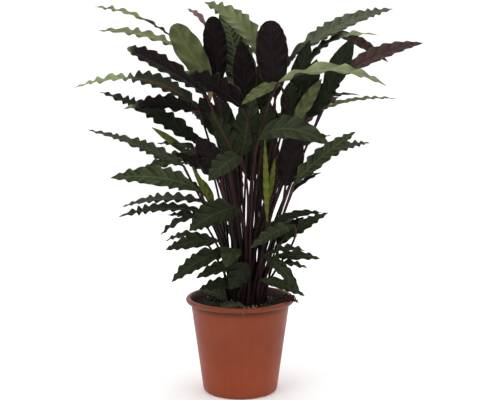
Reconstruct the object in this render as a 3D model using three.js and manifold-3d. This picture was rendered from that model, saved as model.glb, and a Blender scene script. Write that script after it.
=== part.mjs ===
// A potted velvet calathea: a brown plastic nursery pot filled with soil, and nearly ninety leaves,
// each a purple stalk with a wavy, lance-shaped blade. Leaves that share a sheath are one shoot.
// Millimetres, +Z up. The pot's axis is Z, it stands on z = 0, and its front looks along -Y.
import * as THREE from "three";
import { mergeVertices } from "three/addons/utils/BufferGeometryUtils.js";
import Module from "manifold-3d";

const wasm = await Module();
wasm.setup();

// The pot
const POT_HEIGHT = 185;
const RIM_RADIUS = 105;
const RIM_HEIGHT = 10;
const BODY_TOP_RADIUS = 95.5;
const BASE_RADIUS = 72.5;
const BASE_ROUNDING = 7;
const WALL = 1.8;
const FLOOR_THICKNESS = 2.4;
const RIM_FLAT = 3;
const RIM_LIP = 1;
const POT_SIDES = 32;
const DRAIN_HOLES = 6;
const DRAIN_RADIUS = 5;
const DRAIN_RING = 48;

// The soil
const SOIL_TOP = 174;
const SOIL_CLEARANCE = 0.4;
const SOIL_RINGS = [54, 66, 78];
const SOIL_FLAT_RADIUS = 55;
const SOIL_RELIEF = 1.6;
const CRUMBS_PER_MM = 0.4;
const SOIL_DIP = 3;
const HOLE_DEPTH = 14;
const HOLE_SIDES = 6;
const HOLE_CLEARANCE = 0.35;

// Where the stalks rise from the soil
const CLUMP_X = 14;
const CLUMP_RADIUS = 38;
const FIRST_FOOT = [0.7, 0.4];
const FOOT_SPACING = 9.4;
const FOOT_IN_SHOOT = 3;

// One leaf
const FOOT_RADIUS = 3.2;
const SHARED_FOOT_RADIUS = 2.5;
const STALK_RADIUS = 2.5;
const NECK_RADIUS = 1.9;
const SHEATH_LENGTH = 45;
const STALK_STEPS = 3;
const STALK_UPRIGHT = 0.35;
const STALK_ARCH = 0.3;
const STALK_LIFT = 1.2;
const SWELL_FROM = 8;
const BLADE_THICKNESS = 0.9;
const RIB_DEPTH = 0.8;
const TIP_HALF_WIDTH = 0.8;
const BLADE_SKEW = 0.85;
const BLADE_FULLNESS = 0.75;
const BLUNT_SKEW = 1.25;
const BLUNT_FULLNESS = 0.45;
const TURN_FROM = 0.2;
const TURN_TO = 0.8;
const WAVE_LENGTH = 36;
const FEWEST_WAVES = 3;
const MOST_WAVES = 6;
const WAVE_HEIGHT = 0.085;
const BLADE_FOLD = 0.2;
const SCALLOP = 0.05;

// How far the leaves of different shoots stay apart, and how a leaf moves to get there
const CLEARANCES = [1.2, 0.5];
const MOVE_STEP = 6;
const MOST_STEPS_BACK = 9;
const MOST_STEPS_UP = 2;
const MOST_STEPS_ASIDE = 2;
const LIFT_COST = 2.5;
const ASIDE_COST = 2;
const BELLY = 9;
const BELLIES = [[0, 0], [1, 0], [-1, 0], [0, 1], [0, -1], [2, 0], [-2, 0], [0, 2], [0, -2]];
const BELLY_COST = 0.8;

// Detail below this is smoothed away where two leaves of a shoot join
const FINEST_DETAIL = 0.02;

// The way the upper side of a blade faces
const UP = [0, -0.35, 0.94];
const UP_FRONT = [0, -0.55, 0.83];
const FRONT = [0, -1, 0.15];
const FRONT_UP = [0, -0.75, 0.65];
const BACK = [0, 1, 0.15];
const BACK_UP = [0, 0.6, 0.8];
const BACK_LEAN = [0, 0.7, 0.7];

// Shoot, the blade's base and tip, its width, its bow towards the upper side, and the way it faces.
// Rows with one shoot's name are the leaves of that shoot.
const LEAVES = [
  ["back_3", [25, 70, 470], [30, 260, 500], 50, 0.14, UP],
  ["back_3", [22, 62, 400], [8, 84, 575], 50, 0.03, FRONT],
  ["left_high_1", [-95, 10, 655], [-280, 60, 740], 20, 0.1, UP],
  ["left_high_6", [10, -50, 550], [-95, -130, 620], 50, 0.06, BACK_UP],
  ["centre_5", [-20, -72, 455], [-65, -100, 545], 36, 0.05, FRONT_UP],
  ["centre_5", [-25, 40, 465], [-40, 50, 575], 36, 0.04, FRONT],
  ["left_high_3", [-55, -25, 595], [-125, 5, 705], 50, 0.04, FRONT],
  ["left_high_3", [-45, -5, 570], [-115, 20, 665], 36, 0.06, FRONT_UP],
  ["left_high_2", [-110, 45, 660], [-275, 75, 695], 22, 0.08, UP],
  ["left_mid_6", [-55, -20, 465], [-190, -30, 430], 28, 0.08, FRONT_UP],
  ["left_mid_6", [-50, -10, 370], [-70, -20, 415], 14, 0.06, FRONT_UP],
  ["top_1", [40, 20, 640], [-65, -20, 745], 46, 0.2, FRONT_UP],
  ["top_1", [40, 10, 545], [35, 20, 630], 40, 0.04, FRONT],
  ["top_2", [20, 30, 555], [-35, 40, 745], 62, -0.03, FRONT],
  ["top_3", [65, -40, 570], [55, -75, 710], 60, 0.03, BACK],
  ["top_3", [40, -45, 480], [55, -55, 565], 36, 0.04, FRONT],
  ["top_4", [25, -10, 555], [15, -45, 675], 46, 0.05, BACK],
  ["top_5", [-35, -15, 590], [-45, -35, 720], 46, 0.04, BACK],
  ["top_5", [-65, 25, 705], [-100, 30, 735], 20, 0.08, UP],
  ["left_high_4", [-60, -60, 575], [-210, -20, 660], 44, 0.05, BACK_LEAN],
  ["left_high_5", [-75, -45, 550], [-295, -100, 590], 38, 0.24, FRONT_UP, UP],
  ["left_mid_1", [-70, -15, 480], [-260, -30, 580], 40, 0.08, FRONT_UP, UP],
  ["left_mid_2", [-60, -40, 535], [-210, -70, 545], 40, 0.12, BACK_LEAN],
  ["left_mid_2", [-40, 10, 505], [-75, 15, 570], 38, 0.05, FRONT],
  ["left_mid_3", [-105, -45, 445], [-270, -110, 515], 30, 0.05, FRONT_UP, UP],
  ["left_mid_4", [-95, 10, 455], [-170, 30, 510], 16, 0.05, FRONT_UP],
  ["left_mid_4", [-65, 0, 460], [-160, 20, 480], 22, 0.08, UP],
  ["left_mid_5", [-30, -55, 420], [-70, -80, 500], 50, 0.04, BACK],
  ["left_mid_5", [-45, -35, 425], [-120, -60, 470], 34, 0.05, BACK_UP],
  ["left_mid_7", [-75, -60, 400], [-230, -125, 430], 44, 0.12, FRONT_UP],
  ["left_mid_8", [0, -75, 465], [-55, -130, 425], 42, 0.12, FRONT_UP],
  ["left_mid_9", [-55, -35, 375], [-90, -45, 450], 12, 0.05, FRONT_UP],
  ["left_mid_9", [-50, -20, 380], [-120, -10, 420], 24, 0.06, UP],
  ["left_low_1", [-55, -20, 370], [-220, -10, 360], 30, 0.08, UP],
  ["left_low_1", [-50, 10, 325], [-140, 30, 340], 30, 0.08, BACK_UP],
  ["left_low_2", [-65, -45, 355], [-225, -70, 350], 32, 0.08, UP],
  ["left_low_2", [-75, -55, 350], [-145, -85, 320], 20, 0.12, UP],
  ["left_low_3", [-5, -75, 370], [-90, -130, 335], 54, 0.12, FRONT_UP],
  ["left_low_4", [-75, 0, 305], [-145, 20, 290], 24, 0.08, UP],
  ["left_low_4", [-40, -50, 305], [-135, -90, 295], 30, 0.1, FRONT_UP],
  ["left_low_5", [-25, -60, 285], [-125, -100, 235], 34, 0.16, FRONT_UP],
  ["left_low_5", [0, -45, 220], [-75, -70, 215], 26, 0.1, FRONT_UP],
  ["left_low_6", [-5, -50, 260], [-80, -85, 240], 26, 0.1, FRONT_UP],
  ["left_low_6", [-10, -65, 290], [-25, -115, 265], 38, 0.14, FRONT_UP],
  ["left_low_6", [5, -40, 260], [-25, -60, 215], 38, 0.06, FRONT],
  ["right_high_1", [95, 15, 645], [290, 40, 735], 42, 0.08, UP_FRONT],
  ["right_high_2", [100, 5, 575], [130, 5, 675], 34, 0.05, FRONT],
  ["right_high_2", [115, 20, 595], [260, 10, 685], 26, 0.24, UP],
  ["right_high_3", [175, 60, 695], [290, 90, 635], 24, 0.08, BACK_LEAN],
  ["right_high_4", [185, 10, 605], [340, -20, 670], 38, 0.1, BACK_LEAN],
  ["right_high_5", [160, -20, 580], [210, -30, 680], 40, 0.03, FRONT],
  ["right_high_6", [70, -60, 605], [260, -100, 600], 44, 0.14, UP],
  ["right_high_7", [80, -60, 595], [10, -110, 560], 24, 0.1, FRONT_UP],
  ["right_high_7", [95, -30, 530], [95, -30, 600], 40, 0.03, FRONT],
  ["right_high_8", [125, -40, 535], [185, -70, 605], 44, 0.05, FRONT_UP],
  ["right_high_8", [100, -50, 525], [150, -60, 605], 24, 0.04, FRONT],
  ["right_high_9", [120, 20, 530], [300, 40, 565], 16, 0.08, UP],
  ["right_high_9", [120, 40, 545], [235, 80, 570], 18, 0.1, UP],
  ["right_mid_1", [35, -60, 495], [160, -120, 490], 54, 0.26, FRONT_UP],
  ["right_mid_2", [115, -20, 520], [185, -10, 570], 32, 0.06, BACK_LEAN],
  ["right_mid_2", [75, 0, 490], [60, 10, 565], 40, 0.06, BACK],
  ["right_mid_3", [85, -45, 405], [105, -75, 510], 50, 0.05, BACK],
  ["right_mid_4", [100, -45, 410], [210, -85, 510], 34, 0.06, FRONT_UP],
  ["right_mid_5", [115, 10, 425], [250, 40, 480], 36, 0.1, UP],
  ["right_mid_5", [100, 0, 390], [155, 10, 425], 14, 0.06, UP],
  ["right_mid_6", [95, 0, 465], [175, 0, 500], 28, 0.06, UP],
  ["centre_1", [45, -55, 340], [40, -75, 500], 15, 0.03, FRONT],
  ["centre_2", [55, -50, 380], [65, -65, 460], 14, 0.03, FRONT],
  ["centre_4", [10, -60, 455], [30, -70, 570], 42, 0.04, FRONT],
  ["right_low_1", [55, -45, 330], [150, -70, 360], 22, 0.1, UP_FRONT],
  ["right_low_2", [80, -30, 300], [165, -45, 355], 24, 0.06, FRONT_UP],
  ["right_low_2", [70, -20, 290], [120, -35, 345], 28, 0.06, BACK],
  ["right_low_3", [100, -55, 335], [20, -100, 300], 26, 0.1, FRONT_UP],
  ["right_low_4", [55, -55, 280], [120, -85, 290], 20, 0.1, UP_FRONT],
  ["right_low_4", [45, -60, 280], [110, -95, 215], 24, 0.16, FRONT_UP],
  ["right_low_5", [65, -40, 270], [150, -60, 270], 20, 0.1, FRONT_UP],
  ["right_low_5", [60, -45, 255], [125, -75, 255], 20, 0.1, UP],
  ["right_low_6", [40, -60, 230], [120, -85, 205], 22, 0.12, FRONT_UP],
  ["back_1", [-40, 90, 480], [-100, 235, 528], 48, 0.14, UP],
  ["back_1", [30, 90, 560], [35, 245, 618], 46, 0.14, UP],
  ["back_2", [60, 65, 590], [110, 230, 640], 44, 0.14, UP],
  ["back_2", [75, 60, 500], [150, 205, 535], 46, 0.14, UP],
  ["back_2", [100, 60, 490], [150, 75, 640], 54, 0.04, FRONT],
  ["back_4", [-30, 60, 400], [-130, 175, 425], 42, 0.12, UP],
  ["back_4", [-20, 50, 300], [-85, 135, 300], 32, 0.12, UP],
  ["back_4", [-8, 58, 330], [-30, 80, 500], 44, 0.04, BACK],
  ["back_5", [70, 60, 390], [165, 160, 420], 42, 0.12, UP],
  ["back_5", [55, 50, 300], [120, 130, 310], 32, 0.12, UP],
  ["back_5", [48, 58, 350], [52, 82, 520], 46, 0.04, FRONT],
];

// The first leaf of these shoots has a blunt end.
const BLUNT_SHOOTS = ["top_3", "top_5", "left_high_3", "left_high_4"];
// Two leaves that have dropped: base, tip, width, bow and the way they face.
const DRY_LEAF = [[80, -8, 185.8], [108, -20, 185.3], 13, 0.04, [0, -0.2, 1]];
const OLD_LEAF = [[8, -46, 175.5], [-45, -68, 174.5], 26, 0.06, [0, -0.3, 1]];

const vec = (v) => new THREE.Vector3(...v);

// A closed mesh as a manifold solid, its shared vertices merged.
function solidFrom(geometry) {
  geometry.deleteAttribute("normal");
  geometry.deleteAttribute("uv");
  const merged = mergeVertices(geometry, 1e-4);
  return new wasm.Manifold(
    new wasm.Mesh({
      numProp: 3,
      vertProperties: merged.getAttribute("position").array,
      triVerts: new Uint32Array(merged.getIndex().array),
    }),
  );
}

function geometryFrom(solid) {
  const mesh = solid.getMesh();
  return new THREE.BufferGeometry()
    .setAttribute("position", new THREE.BufferAttribute(mesh.vertProperties, 3))
    .setIndex(new THREE.BufferAttribute(mesh.triVerts, 1));
}

// A prism along Z from its foot point, flat side to flat side twice the radius across.
function prism(x, y, z, radius, height, sides) {
  const corner = radius / Math.cos(Math.PI / sides);
  const geometry = new THREE.CylinderGeometry(corner, corner, height, sides);
  geometry.rotateX(Math.PI / 2);
  geometry.translate(x, y, z + height / 2);
  return solidFrom(geometry);
}

// Points of an arc in a lathe's profile.
function arc(cx, cy, radius, from, to, steps) {
  return Array.from({ length: steps + 1 }, (_, i) => {
    const a = THREE.MathUtils.degToRad(from + ((to - from) * i) / steps);
    return new THREE.Vector2(cx + radius * Math.cos(a), cy + radius * Math.sin(a));
  });
}

// The pot's inner radius at a height, parallel to its tapered outside.
function innerRadius(z) {
  const top = POT_HEIGHT - RIM_HEIGHT;
  return BASE_RADIUS + ((BODY_TOP_RADIUS - BASE_RADIUS) * z) / top - WALL;
}

// The pot: a tapered shell with a rounded base and a rolled rim, and drain holes round a solid middle.
function potSolid() {
  const rimFoot = POT_HEIGHT - RIM_HEIGHT;
  const roll = RIM_HEIGHT / 2;
  const inside = BASE_ROUNDING - WALL;
  const profile = [
    new THREE.Vector2(0, 0),
    ...arc(BASE_RADIUS - BASE_ROUNDING, BASE_ROUNDING, BASE_ROUNDING, -90, -8, 3),
    new THREE.Vector2(BODY_TOP_RADIUS, rimFoot),
    ...arc(RIM_RADIUS - roll, POT_HEIGHT - roll, roll, -75, 90, 5),
    new THREE.Vector2(RIM_RADIUS - roll - RIM_FLAT, POT_HEIGHT - RIM_LIP),
    new THREE.Vector2(innerRadius(rimFoot), rimFoot),
    new THREE.Vector2(innerRadius(BASE_ROUNDING), BASE_ROUNDING),
    new THREE.Vector2(innerRadius(BASE_ROUNDING) - inside, FLOOR_THICKNESS),
    new THREE.Vector2(0, FLOOR_THICKNESS),
  ];
  const lathe = new THREE.LatheGeometry(profile, POT_SIDES);
  lathe.rotateX(Math.PI / 2);
  let pot = solidFrom(lathe);
  for (let i = 0; i < DRAIN_HOLES; i++) {
    const a = (2 * Math.PI * i) / DRAIN_HOLES;
    const x = DRAIN_RING * Math.cos(a);
    const y = DRAIN_RING * Math.sin(a);
    pot = pot.subtract(prism(x, y, -1, DRAIN_RADIUS, FLOOR_THICKNESS + 2, HOLE_SIDES));
  }
  return pot;
}

// The soil's surface: flat and pressed round the stalks, with crumbs a millimetre or two high outside.
function soilHeight(x, y) {
  const crumbs = Math.sin(x * CRUMBS_PER_MM) * Math.cos(y * CRUMBS_PER_MM);
  const out = Math.hypot(x, y);
  const dip = SOIL_DIP * THREE.MathUtils.smoothstep(out, SOIL_RINGS[0], BODY_TOP_RADIUS);
  const loose = out > SOIL_FLAT_RADIUS ? SOIL_RELIEF : 0;
  return SOIL_TOP + loose * crumbs - dip;
}

// The soil, which fills the pot.
function soilSolid() {
  const edge = innerRadius(SOIL_TOP - SOIL_DIP) - SOIL_CLEARANCE;
  const foot = innerRadius(BASE_ROUNDING) - SOIL_CLEARANCE;
  const profile = [
    new THREE.Vector2(0, FLOOR_THICKNESS + SOIL_CLEARANCE),
    new THREE.Vector2(foot - BASE_ROUNDING + WALL, FLOOR_THICKNESS + SOIL_CLEARANCE),
    new THREE.Vector2(foot, BASE_ROUNDING),
    new THREE.Vector2(edge, SOIL_TOP - SOIL_DIP),
    ...SOIL_RINGS.toReversed().map((r) => new THREE.Vector2(r, SOIL_TOP)),
    new THREE.Vector2(0, SOIL_TOP),
  ];
  const lathe = new THREE.LatheGeometry(profile, POT_SIDES);
  lathe.rotateX(Math.PI / 2);
  const points = lathe.getAttribute("position");
  for (let i = 0; i < points.count; i++) {
    if (points.getZ(i) === SOIL_TOP) points.setZ(i, soilHeight(points.getX(i), points.getY(i)));
  }
  return solidFrom(lathe);
}

// The soil with the plain holes that the shoots stand in.
function drilled(soil, feet) {
  const drill = SOIL_TOP - HOLE_DEPTH;
  for (const { x, y, radius } of feet) {
    soil = soil.subtract(prism(x, y, drill, radius + HOLE_CLEARANCE, 2 * HOLE_DEPTH, HOLE_SIDES));
  }
  return soil;
}

// A spread of places for shoots in the clump: rows half a step out of line, as in a honeycomb.
function footPlaces() {
  const places = [];
  const rows = Math.ceil(CLUMP_RADIUS / FOOT_SPACING);
  for (let j = -rows; j <= rows; j++) {
    for (let i = -rows - 1; i <= rows + 1; i++) {
      const x = FIRST_FOOT[0] + (i + (j % 2 ? 0.5 : 0)) * FOOT_SPACING;
      const y = FIRST_FOOT[1] + j * FOOT_SPACING * Math.cos(Math.PI / 6);
      if (Math.hypot(x, y) < CLUMP_RADIUS) places.push(new THREE.Vector2(CLUMP_X + x, y));
    }
  }
  return places;
}

// The way a shoot leans: how far its leaves stand out from the clump's middle for their height.
function leanOf(leaves) {
  const lean = new THREE.Vector2();
  for (const { base } of leaves) {
    const rise = base.z - SOIL_TOP;
    lean.x += (base.x - CLUMP_X) / rise / leaves.length;
    lean.y += base.y / rise / leaves.length;
  }
  return lean;
}

// The shoots that lean most stand outside, each in the free place nearest to the way it leans.
function takeFeet(shoots) {
  const places = footPlaces();
  const feet = new Map();
  const order = [...shoots].map(([name, leaves]) => ({ name, lean: leanOf(leaves) }));
  order.sort((a, b) => b.lean.length() - a.lean.length());
  order.forEach(({ name, lean }, i) => {
    const wish = lean.setLength(CLUMP_RADIUS * Math.sqrt(1 - (i + 0.5) / order.length));
    wish.x += CLUMP_X;
    places.sort((a, b) => a.distanceTo(wish) - b.distanceTo(wish));
    feet.set(name, places.shift());
  });
  return feet;
}

// A leaf's own places in its shoot's foot, side by side round the middle.
function footOf(place, index, count) {
  if (count === 1) return new THREE.Vector3(place.x, place.y, 0);
  const turn = (2 * Math.PI * index) / count;
  const out = FOOT_IN_SHOOT / 2;
  return new THREE.Vector3(place.x + out * Math.cos(turn), place.y + out * Math.sin(turn), 0);
}

// A direction turned square to another.
function square(direction, along) {
  return direction.clone().addScaledVector(along, -direction.dot(along)).normalize();
}

// The way a blade faces at a share of its length: some blades turn on the way to the tip.
function faceAt(leaf, t) {
  const turned = THREE.MathUtils.smoothstep(t, TURN_FROM, TURN_TO);
  return leaf.faces[0].clone().lerp(leaf.faces[1], turned);
}

// The blade's midline, bowed towards its upper side.
function bladeCurve(leaf, step) {
  const base = leaf.base.clone().add(step);
  const tip = leaf.tip.clone().add(step);
  const chord = tip.clone().sub(base);
  const along = chord.clone().normalize();
  const up = square(leaf.faces[0], along);
  const middle = base.clone().add(tip).multiplyScalar(0.5);
  middle.addScaledVector(up, 2 * leaf.bow * chord.length());
  return new THREE.QuadraticBezierCurve3(base, middle, tip);
}

// The stalk's midline: straight up out of the soil, then over to the blade.
function stalkCurve(foot, blade, belly) {
  const start = new THREE.Vector3(foot.x, foot.y, SOIL_TOP);
  const rise = blade.v0.z - SOIL_TOP;
  const into = blade.getTangent(0);
  into.z += STALK_LIFT;
  into.normalize();
  const low = new THREE.Vector3(foot.x, foot.y, SOIL_TOP + STALK_UPRIGHT * rise).add(belly);
  const high = blade.v0.clone().addScaledVector(into, -STALK_ARCH * rise);
  return new THREE.CubicBezierCurve3(start, low, high, blade.v0);
}

// Half a blade's width at a share of its length: lance-shaped, with a drawn-out tip or a blunt end.
function halfWidth(leaf, t) {
  const skew = leaf.blunt ? BLUNT_SKEW : BLADE_SKEW;
  const fullness = leaf.blunt ? BLUNT_FULLNESS : BLADE_FULLNESS;
  return (leaf.width / 2) * Math.sin(Math.PI * t ** skew) ** fullness;
}

// One ring of six points round the midline, from the left edge over the top and back underneath.
function ring(centre, side, up, points) {
  return points.map(([across, rise]) =>
    centre.clone().addScaledVector(side, across).addScaledVector(up, rise),
  );
}

// A closed skin over a row of rings, its underside cut into the same triangles as its upper side.
function skin(rings) {
  const size = rings[0].length;
  const index = [];
  for (let i = 0; i + 1 < rings.length; i++) {
    for (let j = 0; j < size; j++) {
      const a = i * size + j;
      const b = i * size + ((j + 1) % size);
      const under = j >= size / 2;
      if (under) index.push(a, b, a + size, b, b + size, a + size);
      else index.push(a, b, b + size, a, b + size, a + size);
    }
  }
  const last = (rings.length - 1) * size;
  for (let j = 1; j + 1 < size; j++) {
    index.push(0, j + 1, j);
    index.push(last, last + j, last + j + 1);
  }
  const geometry = new THREE.BufferGeometry().setFromPoints(rings.flat());
  geometry.setIndex(index);
  return solidFrom(geometry);
}

// The rings of a blade along its midline, waved at both edges and folded up from its rib.
function bladeRings(leaf, blade, swell) {
  const waves = Math.round(blade.getLength() / WAVE_LENGTH);
  const steps = 2 * THREE.MathUtils.clamp(waves, FEWEST_WAVES, MOST_WAVES);
  const thick = BLADE_THICKNESS / 2 + swell;
  const rings = [];
  for (let i = 0; i <= steps; i++) {
    const t = i / steps;
    const end = i === 0 || i === steps;
    const flip = i % 2 ? 1 : -1;
    const along = blade.getTangent(t);
    const up = square(faceAt(leaf, t), along);
    const least = i === 0 ? NECK_RADIUS : TIP_HALF_WIDTH;
    const half = swell + Math.max(halfWidth(leaf, t) * (1 + SCALLOP * flip), least);
    const wave = end ? 0 : WAVE_HEIGHT * leaf.width * flip;
    const left = BLADE_FOLD * half + wave;
    const right = BLADE_FOLD * half - wave * leaf.lean;
    const points = [
      [-half, left + thick],
      [0, thick],
      [half, right + thick],
      [half, right - thick],
      [0, -thick - RIB_DEPTH],
      [-half, left - thick],
    ];
    rings.push(ring(blade.getPoint(t), along.cross(up), up, points));
  }
  return rings;
}

// The rings of a stalk, from its root end in the soil to the blade, which its section follows on from.
function stalkRings(leaf, stalk, neckUp, swell) {
  const rings = [];
  let up = neckUp;
  for (let i = STALK_STEPS - 1; i >= 0; i--) {
    const t = i / STALK_STEPS;
    const along = i === 0 ? new THREE.Vector3(0, 0, 1) : stalk.getTangent(t);
    up = square(up, along);
    const side = along.clone().cross(up);
    const centre = stalk.getPoint(t);
    const sheath = THREE.MathUtils.clamp(1 - (centre.z - SOIL_TOP) / SHEATH_LENGTH, 0, 1);
    const plain = THREE.MathUtils.lerp(STALK_RADIUS, NECK_RADIUS, t);
    const radius = THREE.MathUtils.lerp(plain, leaf.footRadius, sheath) + swell;
    if (i === 0 && swell) centre.z += SWELL_FROM;
    rings.unshift(hexagon(centre, side, up, radius));
    if (i === 0 && !swell) {
      centre.z = SOIL_TOP - HOLE_DEPTH + HOLE_CLEARANCE;
      rings.unshift(hexagon(centre, side, up, radius));
    }
  }
  return rings;
}

// One leaf, from the root end of its stalk to the tip of its blade. swell fattens it all round, from
// a little above the soil, which shows how near it comes to others.
function leafSolid(leaf, { step, belly }, swell = 0) {
  const blade = bladeCurve(leaf, step);
  const neckUp = square(leaf.faces[0], blade.getTangent(0));
  const stalk = stalkCurve(leaf.foot, blade, belly);
  return skin([...stalkRings(leaf, stalk, neckUp, swell), ...bladeRings(leaf, blade, swell)]);
}

// A leaf that has dropped: a blade without a stalk.
function droppedLeaf([base, tip, width, bow, face]) {
  const up = vec(face).normalize();
  const leaf = { base: vec(base), tip: vec(tip), width, bow, faces: [up, up], lean: 1 };
  return skin(bladeRings(leaf, bladeCurve(leaf, new THREE.Vector3()), 0));
}

function hexagon(centre, side, up, radius) {
  const points = [150, 90, 30, -30, -90, -150].map((degrees) => {
    const a = THREE.MathUtils.degToRad(degrees);
    return [radius * Math.cos(a), radius * Math.sin(a)];
  });
  return ring(centre, side, up, points);
}

function solidsMeet(a, b) {
  const common = a.intersect(b);
  const meet = !common.isEmpty();
  common.delete();
  return meet;
}

function boxesMeet(a, b) {
  const [p, q] = [a.boundingBox(), b.boundingBox()];
  return [0, 1, 2].every((k) => p.min[k] < q.max[k] && q.min[k] < p.max[k]);
}

// The moves a leaf may make, the smallest first: its blade goes aside, to the front or the back and
// up or down, and its stalk bellies out to a side.
function moves() {
  const list = [];
  for (let i = -MOST_STEPS_ASIDE; i <= MOST_STEPS_ASIDE; i++) {
    for (let j = -MOST_STEPS_BACK; j <= MOST_STEPS_BACK; j++) {
      for (let k = -MOST_STEPS_UP; k <= MOST_STEPS_UP; k++) {
        for (const [x, y] of BELLIES) {
          const step = new THREE.Vector3(i, j, k).multiplyScalar(MOVE_STEP);
          const belly = new THREE.Vector3(x, y, 0).multiplyScalar(BELLY);
          const cost = Math.hypot(ASIDE_COST * i, j, LIFT_COST * k) + BELLY_COST * Math.hypot(x, y);
          list.push({ step, belly, cost });
        }
      }
    }
  }
  return list.sort((a, b) => a.cost - b.cost);
}

// A leaf that comes too near the leaves of other shoots makes the smallest move that clears it.
function clearMove(leaf, others) {
  const near = [...others];
  for (const gap of CLEARANCES) {
    const clear = MOVES.find((move) => {
      const swollen = leafSolid(leaf, move, gap);
      const hit = near.findIndex((other) => boxesMeet(swollen, other) && solidsMeet(swollen, other));
      if (hit > 0) near.unshift(...near.splice(hit, 1)); // what is in the way now is tried first next time
      swollen.delete();
      return hit < 0;
    });
    if (clear) return clear;
  }
  throw new Error("no clear place for the leaf at " + leaf.base.toArray());
}

const plant = new THREE.Group();
const plastic = new THREE.MeshStandardMaterial({ color: 0x8a4a36, roughness: 0.5, metalness: 0 });
const earth = new THREE.MeshStandardMaterial({ color: 0x1d1814, roughness: 1, metalness: 0 });
const velvet = new THREE.MeshStandardMaterial({ color: 0x2a3d25, roughness: 0.7, metalness: 0 });
const straw = new THREE.MeshStandardMaterial({ color: 0x5c4433, roughness: 0.9, metalness: 0 });

function addMesh(name, solid, material) {
  const mesh = new THREE.Mesh(geometryFrom(solid), material);
  mesh.name = name;
  plant.add(mesh);
}

const MOVES = moves();
const shoots = new Map();
LEAVES.forEach(([name, base, tip, width, bow, face, tipFace = face], i) => {
  if (!shoots.has(name)) shoots.set(name, []);
  const blunt = BLUNT_SHOOTS.includes(name) && !shoots.get(name).length;
  const lean = i % 2 ? 1 : -1;
  const faces = [vec(face).normalize(), vec(tipFace).normalize()];
  shoots.get(name).push({ base: vec(base), tip: vec(tip), width, bow, faces, lean, blunt });
});

const pot = potSolid();
const places = takeFeet(shoots);
const soil = soilSolid();
const others = [pot, soil, droppedLeaf(DRY_LEAF), droppedLeaf(OLD_LEAF)];
const feet = [];
for (const [name, leaves] of shoots) {
  const place = places.get(name);
  const shared = leaves.length > 1;
  const footRadius = shared ? SHARED_FOOT_RADIUS : FOOT_RADIUS;
  feet.push({ x: place.x, y: place.y, radius: footRadius + (shared ? FOOT_IN_SHOOT / 2 : 0) });
  const solids = leaves.map((leaf, i) => {
    Object.assign(leaf, { foot: footOf(place, i, leaves.length), footRadius });
    return leafSolid(leaf, clearMove(leaf, others));
  });
  others.push(...solids);
  const joined = solids.reduce((shoot, solid) => shoot.add(solid));
  addMesh("shoot_" + name, joined.simplify(FINEST_DETAIL), velvet);
}
addMesh("dry_leaf", droppedLeaf(DRY_LEAF), straw);
addMesh("old_leaf", droppedLeaf(OLD_LEAF), velvet);
addMesh("pot", pot, plastic);
addMesh("soil", drilled(soil, feet), earth);

export default plant;
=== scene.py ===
"""A potted velvet calathea: the looks of its leaves, pot and soil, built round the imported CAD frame."""
import math
from dataclasses import dataclass
from itertools import product

import bpy
import numpy as np
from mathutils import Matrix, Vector, noise


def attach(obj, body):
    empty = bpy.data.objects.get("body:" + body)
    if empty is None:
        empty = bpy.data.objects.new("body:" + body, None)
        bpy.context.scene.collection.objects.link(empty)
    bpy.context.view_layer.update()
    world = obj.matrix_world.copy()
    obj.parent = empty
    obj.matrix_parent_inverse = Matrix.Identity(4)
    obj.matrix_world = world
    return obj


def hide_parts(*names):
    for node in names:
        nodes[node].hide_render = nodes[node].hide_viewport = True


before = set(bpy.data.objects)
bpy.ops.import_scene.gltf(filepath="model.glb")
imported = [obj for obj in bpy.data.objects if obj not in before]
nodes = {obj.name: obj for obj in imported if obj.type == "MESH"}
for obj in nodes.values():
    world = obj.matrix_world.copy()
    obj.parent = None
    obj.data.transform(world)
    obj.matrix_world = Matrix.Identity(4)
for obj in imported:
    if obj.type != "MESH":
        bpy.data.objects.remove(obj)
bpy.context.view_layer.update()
rng = np.random.default_rng(7)

# Lengths are in millimetres until a mesh is made.
MM = 0.001

# The pot and its soil, as in the CAD model
POT_HEIGHT = 185
RIM_RADIUS = 105
RIM_HEIGHT = 10
BODY_TOP_RADIUS = 95.5
BASE_RADIUS = 72.5
BASE_ROUNDING = 7
WALL = 1.8
FLOOR_THICKNESS = 2.4
DRAIN_HOLES = 6
DRAIN_RADIUS = 5
DRAIN_RING = 48
SOIL_TOP = 174
SOIL_DIP = 3
SOIL_CLEARANCE = 0.4
SOIL_FLAT_RADIUS = 54
HOLE_DEPTH = 14
HOLE_CLEARANCE = 0.35

# The clump and the leaves' common measures, as in the CAD model
CLUMP_X = 14
CLUMP_RADIUS = 38
FOOT_SPACING = 9.4
FIRST_FOOT = (0.7, 0.4)
FOOT_IN_SHOOT = 3
FOOT_RADIUS = 3.2
SHARED_FOOT_RADIUS = 2.5
STALK_RADIUS = 2.5
NECK_RADIUS = 1.9
SHEATH_LENGTH = 45
STALK_STEPS = 3
STALK_UPRIGHT = 0.35
STALK_ARCH = 0.3
STALK_LIFT = 1.2
BLADE_THICKNESS = 0.9
RIB_DEPTH = 0.8
TIP_HALF_WIDTH = 0.8
BLADE_SKEW = 0.85
BLADE_FULLNESS = 0.75
BLUNT_SKEW = 1.25
BLUNT_FULLNESS = 0.45
TURN_FROM = 0.2
TURN_TO = 0.8
BLADE_FOLD = 0.2
MOVE_STEP = 6
MOST_STEPS = (2, 9, 2)
BELLY = 9
BELLIES = ((0, 0), (1, 0), (-1, 0), (0, 1), (0, -1), (2, 0), (-2, 0), (0, 2), (0, -2))

UP = (0, -0.35, 0.94)
UP_FRONT = (0, -0.55, 0.83)
FRONT = (0, -1, 0.15)
FRONT_UP = (0, -0.75, 0.65)
BACK = (0, 1, 0.15)
BACK_UP = (0, 0.6, 0.8)
BACK_LEAN = (0, 0.7, 0.7)

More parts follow.
